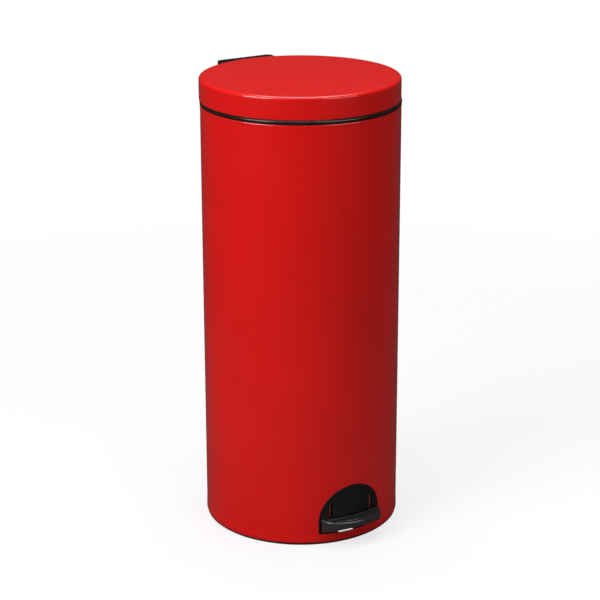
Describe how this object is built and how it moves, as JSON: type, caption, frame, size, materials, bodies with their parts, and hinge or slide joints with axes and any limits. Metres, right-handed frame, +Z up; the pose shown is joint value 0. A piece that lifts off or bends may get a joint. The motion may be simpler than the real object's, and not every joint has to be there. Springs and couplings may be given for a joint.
{
  "type": "pedal bin",
  "caption": "Tall round pedal bin with a hinged lid, an inner bucket with a bail, and a pedal in an arched opening at the foot.",
  "frame": {"origin": "middle of the round base, on the floor", "axes": "+Z up, the pedal faces -Y, the lid's hinge is at +Y"},
  "size_m": [0.2946, 0.3429, 0.68],
  "materials": {
    "red_paint": "satin powder coat",
    "red_primer": "satin powder coat",
    "black_plastic": "fine moulded texture",
    "bucket_plastic": "moulded",
    "zinc_steel": "zinc plated",
    "nylon": "satin",
    "rubber": "matte"
  },
  "bodies": {
    "bin": {"body_shell": "red_paint", "base_ring": "black_plastic", "rim_ring": "black_plastic", "recess_panel": "black_plastic", "pivot_bracket": "red_primer", "shelf_plate": "zinc_steel", "rod_guide_lower": "zinc_steel", "rod_guide_upper": "zinc_steel", "hinge_housing": "black_plastic", "hinge_pin": "zinc_steel", "pedal_axle": "zinc_steel", "return_spring": "zinc_steel", "bucket": "bucket_plastic", "lid_buffer_1": "rubber", "lid_buffer_2": "rubber", "lid_buffer_3": "rubber", "shelf_rivet_left": "zinc_steel", "shelf_rivet_right": "zinc_steel", "housing_rivet_left": "zinc_steel", "housing_rivet_right": "zinc_steel", "hinge_pin_clip_left": "zinc_steel", "hinge_pin_clip_right": "zinc_steel", "pedal_axle_clip_left": "zinc_steel", "pedal_axle_clip_right": "zinc_steel"},
    "lid": {"lid_shell": "red_paint", "lid_inner_ring": "black_plastic", "hinge_knuckle": "black_plastic", "lid_lever": "zinc_steel", "knuckle_bush_left": "nylon", "knuckle_bush_right": "nylon", "knuckle_rivet_left": "zinc_steel", "knuckle_rivet_right": "zinc_steel"},
    "pedal": {"pedal_plate": "black_plastic", "pedal_lever": "zinc_steel", "pedal_bush_left": "nylon", "pedal_bush_right": "nylon", "pedal_screw_left": "zinc_steel", "pedal_screw_right": "zinc_steel"},
    "rod": {"push_rod": "zinc_steel", "rod_collar": "zinc_steel", "rod_clip_top": "zinc_steel", "rod_clip_bottom": "zinc_steel"},
    "bail": {"bail_wire": "zinc_steel", "bail_grip": "black_plastic"}
  },
  "joints": [
    {"name": "lid_hinge", "type": "hinge", "parent": "bin", "child": "lid", "pos_m": [0, 0.16, 0.668], "axis": [-1, 0, 0], "range_deg": [0, 75]},
    {"name": "pedal_pivot", "type": "hinge", "parent": "bin", "child": "pedal", "pos_m": [0, -0.105, 0.036], "axis": [1, 0, 0], "range_deg": [0, 8.42]},
    {"name": "rod_slide", "type": "slide", "parent": "bin", "child": "rod", "axis": [0, 0, 1], "range_m": [0, 0.0356], "stiffness_N_per_m": 100, "deforming": ["return_spring"]},
    {"name": "bail_hinge", "type": "hinge", "parent": "bin", "child": "bail", "pos_m": [0, 0, 0.618], "axis": [-1, 0, 0], "range_deg": [0, 24]}
  ],
  "couplings": [
    {"joint": "pedal_pivot", "follows": "lid_hinge", "ratio": 0.1122},
    {"joint": "rod_slide", "follows": "lid_hinge", "m_per_rad": 0.02719}
  ]
}
